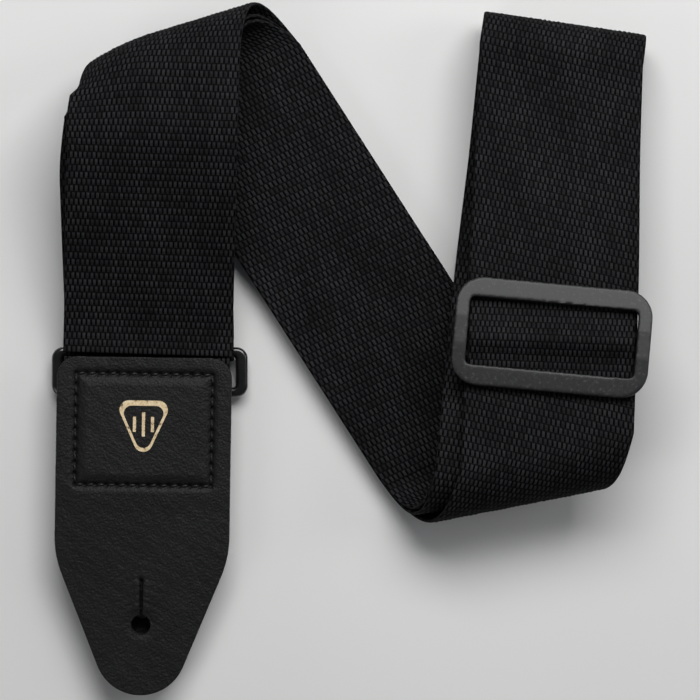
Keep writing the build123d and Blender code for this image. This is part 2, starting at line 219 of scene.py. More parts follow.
def ring_loop_radius():
    slack = 0.2
    return RING_BAR / 2 + slack + WEB_THICK / 2


def cross_level(ply):
    """The crossing run lies level, at its ply's height under the upper left fold."""
    z = height(UPPER_LEFT, ply_radius(UPPER_LEFT, ply), False)
    return [(-400.0, z), (400.0, z)]


# ---- a strand: runs joined by half turns, unrolled as (across, along) ------------------------
class Run:
    """A run along a line. flip is -1 where the webbing lies the other way up, and mirror is
    true where the strand passes along the line backwards."""

    def __init__(self, line, heights, flip, mirror=False):
        self.line = reverse(line) if mirror else line
        sign = -1.0 if mirror else 1.0
        ys, zs = smooth_height(heights)
        order = np.argsort(sign * ys)
        self.ys, self.zs = (sign * ys)[order], zs[order]
        steps = np.hypot(np.diff(self.ys), np.diff(self.zs))
        self.arc = np.concatenate([[0.0], np.cumsum(steps)])
        self.flip = flip

    def at(self, u, y):
        plan = origin(self.line) + np.outer(np.ones_like(y), across(self.line)) * self.flip * u
        plan = plan + np.outer(y, unit(self.line["heading"]))
        plan[:, 2] = np.interp(y, self.ys, self.zs)
        return plan


class Strand:
    """Runs and folds in order. ends are the first and last places along the first and last run."""

    def __init__(self, runs, folds, ends):
        self.runs, self.folds, self.ends = runs, folds, ends

    def limits(self, u):
        """For one place across, each part's start and end in its own measure, and arc lengths."""
        parts = []
        for index, run in enumerate(self.runs):
            side = run.flip * u
            first, last = self.ends
            if index > 0:
                first = crossing(run.line, self.folds[index - 1][0], side)[0]
            if index < len(self.folds):
                last = crossing(run.line, self.folds[index][0], side)[0]
            lengths = np.interp([first, last], run.ys, run.arc)
            parts.append(("run", run, first, last, lengths[1] - lengths[0]))
            if index < len(self.folds):
                fold, radius, down = self.folds[index]
                after = self.runs[index + 1]
                places = (crossing(run.line, fold, side)[1],
                          crossing(after.line, fold, after.flip * u)[1])
                slant = math.hypot(math.pi * radius, places[1] - places[0])
                parts.append(("fold", fold, radius, down, slant, places))
        return parts

    def length(self):
        return sum(part[4] for part in self.limits(0.0))

    def marks(self):
        """Where each part ends along the middle of the strand."""
        return np.cumsum([part[4] for part in self.limits(0.0)])

    def column(self, u, along):
        """Points at one place across, for distances from the strand's start."""
        points = np.zeros((len(along), 3))
        start = 0.0
        for index, part in enumerate(self.limits(u)):
            length = part[4]
            inside = (along >= start - 1e-9) | (index == 0)
            local = along[inside] - start
            if part[0] == "run":
                run, first = part[1], part[2]
                arc_first = np.interp(first, run.ys, run.arc)
                y = np.interp(arc_first + local, run.arc, run.ys)
                points[inside] = run.at(u, y)
            else:
                points[inside] = self.turn(part, local / length)
            start += length
        return points

    def turn(self, part, share):
        """Points round a fold, from its first run (0) to its second (1)."""
        _, fold, radius, down, _, places = part
        base, out_along, out = fold_axes(fold)
        angle = np.clip(share, 0, 1) * math.pi
        rise = np.cos(angle) * (radius if down else -radius)
        reach = np.sin(angle) * radius
        place = places[0] + (places[1] - places[0]) * np.clip(share, 0, 1)
        points = base + np.outer(place, out_along) + np.outer(reach, out)
        points[:, 2] = axis_z(fold) + rise
        return points


def bump_field(points):
    """Soft unevenness of the whole lying strap, the same for every ply at one place."""
    x, y = points[..., 0], points[..., 1]
    wave = np.sin(x * 0.071 + y * 0.043 + 0.6) + 0.7 * np.sin(y * 0.088 - x * 0.031 + 2.1)
    lift = UNEVEN_LIFT * (wave + 1.7)
    calm = np.maximum(ease(-y, 17.0, 32.0), ease(y, 74.0, 90.0))
    near_slider = 1.0 - (1.0 - calm) * ease(x, 0.0, 30.0)
    near_leather = 1.0 - (1.0 - np.clip((y - 8.0) / 25.0, 0, 1)) * ease(-x, 5.0, 35.0)
    out = points.copy()
    out[..., 2] += lift * near_slider * near_leather * np.clip(points[..., 2] / 6.0, 0, 1)
    return out


def ease(value, low, high):
    """0 below low, 1 above high, smooth between them."""
    t = np.clip((value - low) / (high - low), 0, 1)
    return t * t * (3 - 2 * t)


def settle(points):
    """Round off the upper left fold's outer corner, and curl the right leg's webbing a little."""
    x, y, z = points[..., 0], points[..., 1], points[..., 2]
    out = points.copy()
    out[..., 1] -= CORNER_DROP * ease(-x, 58.0, 86.0) * ease(y, 58.0, 84.0)
    inner_ply = np.clip((INNER_TUCK_TOP - z) / WEB_THICK, 0, 1)
    out[..., 0] += INNER_TUCK * ease(-x, 70.0, 84.0) * ease(y, 48.0, 76.0) * inner_ply
    lean = 1 / math.tan(math.radians(SLIDER_LINE["heading"]))
    middle = SLIDER_LINE["point"][0] + (y - SLIDER_LINE["point"][1]) * lean
    curl = ease(y, 12.0, 65.0) * ease(x, 20.0, 34.0)
    out[..., 0] -= CURL_NARROWING * (x - middle) * curl
    upper_ply = np.clip(z / CURL_LEVEL, 0, 1)
    out[..., 2] -= CURL_DROOP * ((x - middle) / (WEB_WIDTH / 2)) ** 2 * curl * upper_ply
    return out


def weave_height(u, s):
    """Height of the woven face: knuckles in rows, each row half a knuckle over from the last."""
    row = np.floor(s / ROW)
    shift = (row % 2) * 0.5 + ROW_SWAY * np.sin(row * ROW_SWAY_RATE)
    place = u / KNUCKLE + shift
    knuckle = np.floor(place)
    hashed = np.sin(knuckle * 12.9898 + row * 78.233) * 43758.5453
    uneven = hashed - np.floor(hashed)         # a repeatable number from 0 to 1 for each knuckle
    lobe = np.abs(np.sin(math.pi * (place - knuckle))) ** KNUCKLE_SHAPE
    crest = np.abs(np.sin(math.pi * (s / ROW - row))) ** ROW_SHAPE
    share = KNUCKLE_LEAST + KNUCKLE_VARY * uneven
    return WEAVE_DEPTH * (lobe * (1 - ROW_DIP + ROW_DIP * crest) * share - KNUCKLE_SINK)


def edge_profile(u):
    """Half thickness share across the webbing: full in the middle, rounded at the selvedge."""
    from_edge = WEB_WIDTH / 2 - np.abs(u)
    return np.sqrt(np.clip(1 - (1 - np.clip(from_edge / SELVEDGE, 0, 1)) ** 2, 0.0, 1))


def new_mesh(name, vertices, faces, uvs=None):
    mesh = bpy.data.meshes.new(name)
    mesh.from_pydata(vertices.tolist(), [], faces.tolist())
    if uvs is not None:
        layer = mesh.uv_layers.new(name="weave")
        loops = np.zeros(len(mesh.loops), dtype=np.int32)
        mesh.loops.foreach_get("vertex_index", loops)
        layer.data.foreach_set("uv", uvs[loops].astype(np.float32).ravel())
    mesh.polygons.foreach_set("use_smooth", np.ones(len(mesh.polygons), dtype=bool))
    mesh.update()
    thing = bpy.data.objects.new(name, mesh)
    bpy.context.scene.collection.objects.link(thing)
    return thing


def unit_normals(grid):
    """The surface's direction up at each point of a grid (along, across)."""
    du = np.gradient(grid, axis=1)
    ds = np.gradient(grid, axis=0)
    normal = np.cross(du, ds)
    return normal / np.maximum(np.linalg.norm(normal, axis=2, keepdims=True), 1e-9)


def across_samples(fine):
    """Places across the webbing, closer together where it rounds off at the sides."""
    reach = WEB_WIDTH / 2 - SELVEDGE
    inner = np.arange(-reach, reach + 0.01, KNUCKLE / (4 if fine else 1.5))
    edge = WEB_WIDTH / 2 - SELVEDGE * (1 - np.cos(np.linspace(0, math.pi / 2, 5)[:-1]))
    return np.unique(np.round(np.concatenate([-edge, inner, edge]), 4))


def web_piece(name, column, start, end, fine=True, thick=WEB_THICK, width_share=1.0):
    """A woven closed ribbon between two distances along a strand."""
    us = across_samples(fine)
    count = max(4, int(round((end - start) / (ROW / (4 if fine else 2)))))
    along = np.linspace(start, end, count + 1)
    grid = np.stack([column(u * width_share, along) for u in us], axis=1)
    grid = bump_field(settle(grid))
    normal = unit_normals(grid)
    u_grid, s_grid = np.meshgrid(us, along)
    edge = edge_profile(u_grid)
    from_side = WEB_WIDTH / 2 - np.abs(u_grid)
    woven = np.clip((from_side - PLAIN_EDGE) / EDGE_FADE, 0, 1)
    face = weave_height(u_grid, s_grid) * woven
    back = weave_height(u_grid + KNUCKLE / 2, s_grid) * woven
    plain = thick / 2 * FACE_SHARE
    upper = grid + normal * ((plain + face) * edge)[..., None]
    lower = grid - normal * ((plain + back) * edge)[..., None]
    rows, cols = grid.shape[:2]
    vertices = np.concatenate([upper.reshape(-1, 3), lower.reshape(-1, 3)])
    index = np.arange(rows * cols).reshape(rows, cols)
    a, b, c, d = index[:-1, :-1], index[:-1, 1:], index[1:, 1:], index[1:, :-1]
    top = np.stack([a, b, c, d], axis=-1).reshape(-1, 4)
    bottom = np.stack([d, c, b, a], axis=-1).reshape(-1, 4) + rows * cols
    rim = np.concatenate([index[0, :], index[1:, -1], index[-1, -2::-1], index[-2:0:-1, 0]])
    follow = np.roll(rim, -1)
    skirt = np.stack([follow, rim, rim + rows * cols, follow + rows * cols], axis=-1)
    uv = np.stack([u_grid, s_grid], axis=-1).reshape(-1, 2) * MM
    back_uv = uv + (KNUCKLE / 2 * MM, 0)
    faces = np.concatenate([top, bottom, skirt])
    return new_mesh(name, (vertices + SHIFT) * MM, faces, np.concatenate([uv, back_uv]))


# ---- materials -------------------------------------------------------------------------------
class Shader:
    """A principled material with short helpers for its nodes."""

    def __init__(self, name, **values):
        self.material = bpy.data.materials.new(name)
        self.material.use_nodes = True
        self.nodes = self.material.node_tree.nodes
        self.links = self.material.node_tree.links
        self.shader = self.nodes["Principled BSDF"]
        for key, value in values.items():
            self.shader.inputs[key.replace("_", " ")].default_value = value

    def add(self, kind, **values):
        node = self.nodes.new(kind)
        for key, value in values.items():
            node.inputs[key.replace("_", " ")].default_value = value
        return node

    def link(self, source, target):
        self.links.new(source, target)

    def place(self, kind, scale):
        """Object or UV coordinates, stretched by scale."""
        coordinates = self.nodes.new("ShaderNodeTexCoord")
        mapping = self.add("ShaderNodeMapping", Scale=scale)
        self.link(coordinates.outputs[kind], mapping.inputs["Vector"])
        return mapping.outputs["Vector"]

    def noise(self, where, scale, detail=3.0, rough=0.6):
        node = self.add("ShaderNodeTexNoise", Scale=scale, Detail=detail, Roughness=rough)
        self.link(where, node.inputs["Vector"])
        return node.outputs["Fac"]

    def math(self, operation, *values):
        node = self.nodes.new("ShaderNodeMath")
        node.operation = operation
        for socket, value in zip(node.inputs, values):
            if isinstance(value, (int, float)):
                socket.default_value = value
            else:
                self.link(value, socket)
        return node.outputs[0]

    def step(self, value, low, high):
        """0 below low, 1 above high, smooth between them."""
        node = self.add("ShaderNodeMapRange", From_Min=low, From_Max=high)
        node.interpolation_type = "SMOOTHSTEP"
        self.link(value, node.inputs["Value"])
        return node.outputs["Result"]

    def ramp(self, value, stops):
        node = self.nodes.new("ShaderNodeValToRGB")
        elements = node.color_ramp.elements
        while len(elements) < len(stops):
            elements.new(0.5)
        for element, (position, colour) in zip(elements, stops):
            element.position = position
            element.color = (*colour, 1.0)
        self.link(value, node.inputs["Fac"])
        return node.outputs["Color"]

    def colour(self, value, stops):
        self.link(self.ramp(value, stops), self.shader.inputs["Base Color"])

    def roughness(self, value, low, high):
        node = self.add("ShaderNodeMapRange", To_Min=low, To_Max=high)
        self.link(value, node.inputs["Value"])
        self.link(node.outputs["Result"], self.shader.inputs["Roughness"])

    def bump(self, value, distance, strength=1.0, under=None):
        node = self.add("ShaderNodeBump", Strength=strength, Distance=distance)
        self.link(value, node.inputs["Height"])
        if under is not None:
            self.link(under, node.inputs["Normal"])
        self.link(node.outputs["Normal"], self.shader.inputs["Normal"])
        return node.outputs["Normal"]


def knuckle_nodes(s):
    """Of the weave at a point: 1 in its slits and row lines, where the colour is darkened as
    painted shade, and each knuckle's number.
    """
    coordinates = s.nodes.new("ShaderNodeTexCoord")
    split = s.nodes.new("ShaderNodeSeparateXYZ")
    s.link(coordinates.outputs["UV"], split.inputs[0])
    rows = s.math("DIVIDE", split.outputs["Y"], ROW * MM)
    row = s.math("FLOOR", rows)
    sway = s.math("MULTIPLY", s.math("SINE", s.math("MULTIPLY", row, ROW_SWAY_RATE)), ROW_SWAY)
    half = s.math("MULTIPLY", s.math("FLOORED_MODULO", row, 2.0), 0.5)
    columns = s.math("DIVIDE", split.outputs["X"], KNUCKLE * MM)
    place = s.math("ADD", s.math("ADD", columns, half), sway)
    knuckle = s.math("FLOOR", place)

    def off_middle(value, whole):
        """0 in the middle of a cell, 1 at its sides."""
        offset = s.math("SUBTRACT", s.math("SUBTRACT", value, whole), 0.5)
        return s.math("MULTIPLY", s.math("ABSOLUTE", offset), 2.0)

    off_column, off_row = off_middle(place, knuckle), off_middle(rows, row)
    white = s.nodes.new("ShaderNodeTexWhiteNoise")
    white.noise_dimensions = "2D"
    join = s.nodes.new("ShaderNodeCombineXYZ")
    s.link(knuckle, join.inputs[0])
    s.link(row, join.inputs[1])
    s.link(join.outputs[0], white.inputs["Vector"])
    number = white.outputs["Value"]
    # painted shade: these masks mark the slits between knuckles and the row lines, which the
    # colour paints near black for the shade that falls in them
    within_row = s.step(s.math("SUBTRACT", 1.0, off_row), 0.04, 0.28)
    slit = s.math("MULTIPLY", s.step(off_column, 0.44, 0.76), within_row)
    slit = s.math("MULTIPLY", slit, s.math("ADD", s.math("MULTIPLY", number, 0.30), 0.86))
    line = s.math("MULTIPLY", s.step(off_row, 0.68, 0.97), 0.95)
    return s.math("MAXIMUM", slit, line), number


def web_material():
    s = Shader("black_webbing", Specular_IOR_Level=0.03)
    gap, number = knuckle_nodes(s)
    fibre = s.noise(s.place("UV", (6500.0, 900.0, 1.0)), 1.0, 2.0, 0.55)
    cloud = s.noise(s.place("UV", (60.0, 40.0, 1.0)), 1.0, 2.0, 0.5)
    own_tone = s.math("ADD", s.math("MULTIPLY", number, 0.4), 0.55)
    light = s.math("MULTIPLY", own_tone, s.math("ADD", cloud, 0.5))
    light = s.math("MULTIPLY", light, s.math("ADD", s.math("MULTIPLY", fibre, 1.3), 0.25))
    # painted shade: the colour falls to near black in the slits and row lines, for the shade that
    # falls in these recesses
    light = s.math("MULTIPLY", light, s.math("SUBTRACT", 1.0, s.math("MULTIPLY", gap, 0.93)))
    s.colour(light, [(0.0, (0.0002, 0.0002, 0.00025)), (0.45, (0.0100, 0.0100, 0.0110)),
                     (1.0, (0.028, 0.028, 0.0302))])
    s.roughness(fibre, 0.55, 0.80)
    s.bump(fibre, 0.00006, 0.8)
    return s.material


def leather_material(name, tint):
    s = Shader(name, Specular_IOR_Level=0.24)
    where = s.place("Object", (1.0, 1.0, 1.0))
    pebbles = s.add("ShaderNodeTexVoronoi", Scale=1500.0, Randomness=1.0)
    pebbles.feature = "SMOOTH_F1"
    s.link(where, pebbles.inputs["Vector"])
    fine = s.noise(where, 4200.0, 3.0, 0.65)
    grain = s.noise(where, 1500.0, 3.0, 0.7)
    cloud = s.noise(where, 70.0, 4.0, 0.6)
    tone = s.math("ADD", s.math("MULTIPLY", cloud, 0.45), s.math("MULTIPLY", grain, 0.55))
    s.colour(tone, [(0.30, tuple(0.40 * c for c in tint)), (0.5, tint),
                    (0.70, tuple(2.3 * c for c in tint))])
    s.roughness(grain, 0.34, 0.72)
    first = s.bump(pebbles.outputs["Distance"], 0.0002, 0.7)
    second = s.bump(grain, 0.0002, 0.7, first)
    s.bump(fine, 0.00008, 0.8, second)
    return s.material


def thread_material():
    s = Shader("waxed_thread", Specular_IOR_Level=0.25)
    twist = s.noise(s.place("Object", (1500.0, 1500.0, 1500.0)), 1.0, 2.0, 0.5)
    s.colour(twist, [(0.3, (0.003, 0.003, 0.0033)), (0.7, (0.008, 0.008, 0.0088))])
    s.roughness(twist, 0.35, 0.55)
    s.bump(twist, 0.0001, 0.7)
    return s.material


def slider_material():
    s = Shader("satin_moulding", Specular_IOR_Level=0.5)
    where = s.place("Object", (1.0, 1.0, 1.0))
    grain = s.noise(where, 2600.0, 4.0, 0.65)
    wear = s.noise(where, 900.0, 6.0, 0.78)
    s.colour(wear, [(0.34, (0.0055, 0.0055, 0.006)), (0.56, (0.012, 0.012, 0.013)),
                    (0.68, (0.060, 0.060, 0.062))])
    s.roughness(wear, 0.42, 0.60)
    s.bump(grain, 0.00005, 0.5)
    return s.material


def ring_material():
    s = Shader("gloss_moulding", Specular_IOR_Level=0.5, Coat_Weight=0.3, Coat_Roughness=0.08)
    wear = s.noise(s.place("Object", (1.0, 1.0, 1.0)), 500.0, 4.0, 0.6)
    s.colour(wear, [(0.3, (0.004, 0.004, 0.0045)), (0.75, (0.008, 0.008, 0.0085))])
    s.roughness(wear, 0.16, 0.30)
    s.bump(wear, 0.00003, 0.4)
    return s.material


def foil_material():
    s = Shader("gold_foil", Specular_IOR_Level=0.5)
    where = s.place("Object", (1.0, 1.0, 1.0))
    worn = s.noise(where, 900.0, 5.0, 0.7)
    bare, covered = 0.36, 0.42
    s.colour(worn, [(bare, (0.06, 0.05, 0.04)), (covered, (0.80, 0.60, 0.34)),
                    (0.7, (0.98, 0.84, 0.60))])
    metal = s.add("ShaderNodeMapRange", From_Min=bare, From_Max=covered, To_Max=0.35)
    s.link(worn, metal.inputs["Value"])
    s.link(metal.outputs["Result"], s.shader.inputs["Metallic"])
    s.roughness(worn, 0.28, 0.48)
    s.bump(worn, 0.00004, 0.5)
    return s.material


WEB = web_material()
LEATHER = leather_material("black_leather", (0.0040, 0.0040, 0.0044))
LINING = leather_material("lining_leather", (0.014, 0.0135, 0.013))
THREAD = thread_material()


def finish_piece(piece, material, body, replaced=()):
    """Material, slot, body and replaced nodes of a piece. A blended piece has no one body."""
    piece.data.materials.clear()
    piece.data.materials.append(material)
    if body:
        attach(piece, body)
    if replaced:
        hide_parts(*replaced)
    return piece


# ---- webbing ---------------------------------------------------------------------------------
def web_sheet(piece, body, length, replaced):
    finish_piece(piece, WEB, body, replaced)


def outer_strand():
    """From the front leather end to the upper right fold, then down to the ring."""
    runs = [Run(FRONT_LINE, front_slope(), 1), Run(CROSS_LINE, cross_level(0), -1),
            Run(SLIDER_LINE, slider_slope(), 1), Run(RETURN_LINE, return_slope(2), -1, True),
            Run(CROSS_LINE, cross_level(2), 1, True), Run(RING_LINE, ring_slope(2), -1, True)]
    folds = [(UPPER_LEFT, UPPER_LEFT["radius"], True), (LOWER, LOWER["radius"], False),
             (UPPER_RIGHT, UPPER_RIGHT["radius"], True), (LOWER, ply_radius(LOWER, 2), True),
             (UPPER_LEFT, ply_radius(UPPER_LEFT, 2), False)]
    inside_end = FRONT_TOP[1] + 0.65       # the strand starts just clear of the tab in the leather
    return Strand(runs, folds, (inside_end, -(bar_y(1) - RING_LINE["point"][1])))


def inner_strand():
    """From the ring up to the upper right fold's inner turn and back to the slider."""
    runs = [Run(RING_LINE, ring_slope(1), 1), Run(CROSS_LINE, cross_level(1), -1),
            Run(RETURN_LINE, return_slope(1), 1),
            Run(SLIDER_LINE, [(y, z - PLY_PITCH) for y, z in slider_slope()], -1, True)]
    folds = [(UPPER_LEFT, ply_radius(UPPER_LEFT, 1), True), (LOWER, ply_radius(LOWER, 1), False),
             (UPPER_RIGHT, UPPER_RIGHT["radius"] - PLY_PITCH, False)]
    return Strand(runs, folds, (bar_y(1) - RING_LINE["point"][1], -(SEWN_LENGTH + 0.1)))


def make_outer_webbing():
    """The outer strand, cut a little way past its folds. Hidden pieces have a coarser mesh."""
    strand = outer_strand()
    m = strand.marks()
    cuts = [("woven_front_run", 0.0, m[1] + 18.0, True,
             ("webbing_front_run", "webbing_upper_left_fold_outer")),
            ("woven_cross_run_outer", m[1] + 18.0, m[2] - 16.0, False,
             ("webbing_cross_run_outer",)),
            ("woven_lower_fold_outer", m[2] - 16.0, m[3] + 18.0, True,
             ("webbing_lower_fold_outer",)),
            ("woven_slider_run", m[3] + 18.0, m[5] + 10.0, True,
             ("webbing_slider_run", "webbing_upper_right_fold_outer")),
            ("woven_return_run_inner", m[5] + 10.0, m[7] + 4.0, True,
             ("webbing_return_run_inner", "webbing_lower_fold_inner")),
            ("woven_cross_run_inner", m[7] + 4.0, m[9] + 2.0, True,
             ("webbing_cross_run_inner", "webbing_upper_left_fold_inner"))]
    for name, start, end, fine, replaced in cuts:
        piece = web_piece(name, strand.column, start, end, fine)
        web_sheet(piece, "webbing", end - start, replaced)
    piece = web_piece("woven_ring_run_inner", strand.column, m[9] + 2.0, strand.length(), False)
    blend_to_ring(piece, strand.length() - m[9], "webbing_ring_run_inner")


def blend_to_ring(piece, length, node):
    """A run with no one body: its material is set, the CAD node it stands for is hidden, and its
    place is baked into its mesh.
    """
    finish_piece(piece, WEB, None, (node,))
    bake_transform(piece)


def make_inner_webbing(ring_turn):
    """The inner strand, cut in the same way."""
    strand = inner_strand()
    m = strand.marks()
    piece = web_piece("woven_ring_run_middle", strand.column, 0.0, m[0] - 2.0, False)
    blend_to_ring(piece, m[0], "webbing_ring_run_middle")
    last_cut = m[5] + 6.0
    cuts = [("upper_left_fold_middle", m[0] - 2.0, m[1] + 10.0, True),
            ("cross_run_middle", m[1] + 10.0, m[2] - 12.0, False),
            ("lower_fold_middle", m[2] - 12.0, m[3] + 12.0, True),
            ("return_run_middle", m[3] + 12.0, m[4] - 8.0, False),
            ("upper_right_fold_inner", m[4] - 8.0, last_cut, True)]
    for place, start, end, fine in cuts:
        piece = web_piece("woven_" + place, strand.column, start, end, fine)
        web_sheet(piece, "webbing", end - start, ("webbing_" + place,))
    piece = web_piece("woven_slider_ply", strand.column, last_cut, strand.length(), False)
    length = strand.length() - last_cut
    finish_piece(piece, WEB, None, ("webbing_slider_ply",))
    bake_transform(piece)


# ---- slider ------------------------------------------------------------------------------------
HUMP_REACH = 10.9              # half the length of the webbing over the slider's bar
HUMP_FOOT, HUMP_RISE = 0.95, 2.75
HUMP_MIDDLE, HUMP_SPREAD = -0.6, 3.9
HUMP_THICK, HUMP_WIDTH_SHARE = 0.7, 0.965
SEWN_GAP = 0.5                 # between the bar's edge and the sewn end's turn
SEWN_ROWS = (15.0, 18.0, 21.0)
SEWN_COUNT, SEWN_PITCH = 13, 3.2


def slider_place():
    """The slider's frame: the outer ply's middle there, and its three directions."""
    (y0, z0), (y1, z1) = slider_slope()[1:3]
    slope = (z1 - z0) / (y1 - y0)
    sideways = across(SLIDER_LINE)
    along = unit(SLIDER_LINE["heading"]) + np.array([0, 0, slope])
    along /= np.linalg.norm(along)
    normal = np.cross(sideways, along)
    place = origin(SLIDER_LINE) + np.array([0, 0, z0 - slope * y0])
    return place, sideways, along, normal


def placed(local, place):
    """Points of the slider's frame in the strap's plan."""
    base, sideways, along, normal = place
    return base + local[..., 0:1] * sideways + local[..., 1:2] * along + local[..., 2:3] * normal


def local_column(profile):
    """A column function for a ribbon whose side view is a curve in the slider's frame."""
    ys, zs = profile
    arc = np.concatenate([[0.0], np.cumsum(np.hypot(np.diff(ys), np.diff(zs)))])
    place = slider_place()

    def column(u, along):
        y = np.interp(along, arc, ys)
        z = np.interp(along, arc, zs)
        return placed(np.stack([np.full_like(y, u), y, z], axis=1), place)
    return column, arc[-1]


def sewn_turn():
    """Height of the centre bar's middle, and radius of the webbing's turn round it."""
    bar_z = -PLY_PITCH - WEB_THICK / 2 - FACE_GAP - CENTRE_BAR_THICK / 2
    return bar_z, CENTRE_BAR_THICK / 2 + FACE_GAP + WEB_THICK / 2


def make_slider_webbing():
    """The hump over the bar, and the sewn end round it."""
    ys = np.linspace(-HUMP_REACH, HUMP_REACH, 90)
    profile = ys, HUMP_FOOT + HUMP_RISE * np.exp(-((ys - HUMP_MIDDLE) / HUMP_SPREAD) ** 2)
    column, length = local_column(profile)
    piece = web_piece("woven_hump_over_bar", column, 0.0, length,
                      thick=HUMP_THICK, width_share=HUMP_WIDTH_SHARE)
    web_sheet(piece, "slider_body", length, ("webbing_over_bar",))
    bar_z, radius = sewn_turn()
    edge = -CENTRE_BAR_WIDTH / 2 - SEWN_GAP
    turn = np.linspace(math.pi / 2, 3 * math.pi / 2, 24)
    upper = np.linspace(SEWN_LENGTH, edge, 60)
    lower = np.linspace(edge, SEWN_LENGTH, 80)
    meet = bar_z + radius - WEB_THICK - FACE_GAP
    lower_z = bar_z - radius + (meet - bar_z + radius) * ease(lower, 3.0, 13.0)
    ys = np.concatenate([upper[:-1], edge + radius * np.cos(turn), lower[1:]])
    upper_z = np.full(len(upper) - 1, bar_z + radius)
    zs = np.concatenate([upper_z, bar_z + radius * np.sin(turn), lower_z[1:]])
    column, length = local_column((ys, zs))
    piece = web_piece("woven_sewn_end", column, 0.0, length)
    web_sheet(piece, "slider_body", length, ("webbing_sewn_end",))


def remeshed(node, name, voxel, rounds):
    """A finer copy of a CAD node, its edges softened. voxel is in millimetres."""
    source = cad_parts[node]
    piece = bpy.data.objects.new(name, source.data.copy())
    bpy.context.scene.collection.objects.link(piece)
    piece.matrix_world = source.matrix_world.copy()
    remesh = piece.modifiers.new("remesh", "REMESH")
    remesh.mode = "VOXEL"
    remesh.voxel_size = voxel * MM
    soften = piece.modifiers.new("soften", "SMOOTH")
    soften.factor = 0.5
    soften.iterations = rounds
    bpy.context.view_layer.update()
    view = piece.evaluated_get(bpy.context.evaluated_depsgraph_get())
    mesh = bpy.data.meshes.new_from_object(view)
    piece.modifiers.clear()
    piece.data = mesh
    mesh.polygons.foreach_set("use_smooth", np.ones(len(mesh.polygons), dtype=bool))
    return piece


def vertices_of(piece):
    flat = np.zeros(len(piece.data.vertices) * 3)
    piece.data.vertices.foreach_get("co", flat)
    return flat.reshape(-1, 3) / MM - SHIFT


def set_vertices(piece, points):
    piece.data.vertices.foreach_set("co", ((points + SHIFT) * MM).ravel())
    piece.data.update()


# ---- leather -----------------------------------------------------------------------------------
def hidden_noise(x, y, scale, seed):
    """Smooth repeatable unevenness from a few crossed waves."""
    total = np.zeros_like(x)
    for turn in range(6):
        angle = seed + turn * 1.047 + 0.3 * turn * turn
        k = scale * (1 + 0.37 * turn)
        total += np.sin((x * math.cos(angle) + y * math.sin(angle)) * k + turn * 2.3 + seed)
    return total / 6


def box_distance(x, y, middle, width, length, corner=1.5):
    """Distance outside (+) or inside (-) a rectangle with rounded corners."""
    dx = np.abs(x - middle[0]) - (width / 2 - corner)
    dy = np.abs(y - middle[1]) - (length / 2 - corner)
    outside = np.hypot(np.maximum(dx, 0), np.maximum(dy, 0))
    return outside + np.minimum(np.maximum(dx, dy), 0) - corner


FRONT_BOX = (0.0, -BOX_DROP - BOX_HEIGHT / 2)   # the stitched box's middle, in the leather's frame
HOLE_Y = BUTTON_HOLE_UP - FRONT_LENGTH
SLIT_TOP = HOLE_Y + SLIT_LENGTH
GROOVE_DEPTH, GROOVE_SPREAD = 0.50, 0.8         # the pressed line under the stitches
PILLOW_RISE, RIM_RISE = 0.62, 0.22              # inside the box, and round it
SLIT_DEPTH, SLIT_SPREAD = 1.4, 0.30
SLIT_END_DEPTH, SLIT_END_SPREAD = 0.7, 0.75
LIP_RISE, LIP_OFFSET, LIP_SPREAD = 0.22, 1.3, 0.9
DISH_DEPTH, DISH_RADIUS, DISH_SPREAD = 0.30, 3.0, 1.3
CREASE_HEIGHT, CREASE_REACH = 0.045, 5.5
NEEDLE_DEPTH, NEEDLE_SPREAD = 0.8, 0.5


def turned(points, degrees):
    """Points turned about the vertical through the origin."""
    cos_t, sin_t = math.cos(math.radians(degrees)), math.sin(math.radians(degrees))
    x, y, z = points[:, 0], points[:, 1], points[:, 2]
    return np.stack([x * cos_t - y * sin_t, x * sin_t + y * cos_t, z], axis=1)


def to_leather(points):
    """Points in the front leather's own frame: its top edge is y = 0, its middle is x = 0."""
    return turned(points - np.array([*FRONT_TOP, 0.0]), -FRONT_TURN)


def from_leather(points):
    return turned(points, FRONT_TURN) + np.array([*FRONT_TOP, 0.0])


def front_droop(y):
    """The leather's free half sinks towards what it lies on."""
    return -FREE_END_DROOP * ease(-y, 36.0, 98.0)


def needle_holes(x, y):
    """1 at the hole between two stitches of the box, 0 away from it."""
    total = np.zeros_like(x)
    x, y = x - FRONT_BOX[0], y - FRONT_BOX[1]
    sides = (BOX_WIDTH, BOX_HEIGHT, x, y), (BOX_HEIGHT, BOX_WIDTH, y, x)
    for run_length, gap, along, away in sides:
        pitch = run_length / round(run_length / STITCH_PITCH)
        place = (along + run_length / 2) / pitch
        from_hole = (place - np.round(place)) * pitch
        on_side = np.abs(along) < run_length / 2 + NEEDLE_SPREAD
        on_seam = np.exp(-((np.abs(away) - gap / 2) / NEEDLE_SPREAD) ** 2) * on_side
        total = np.maximum(total, np.exp(-(from_hole / NEEDLE_SPREAD) ** 2) * on_seam)
    return total


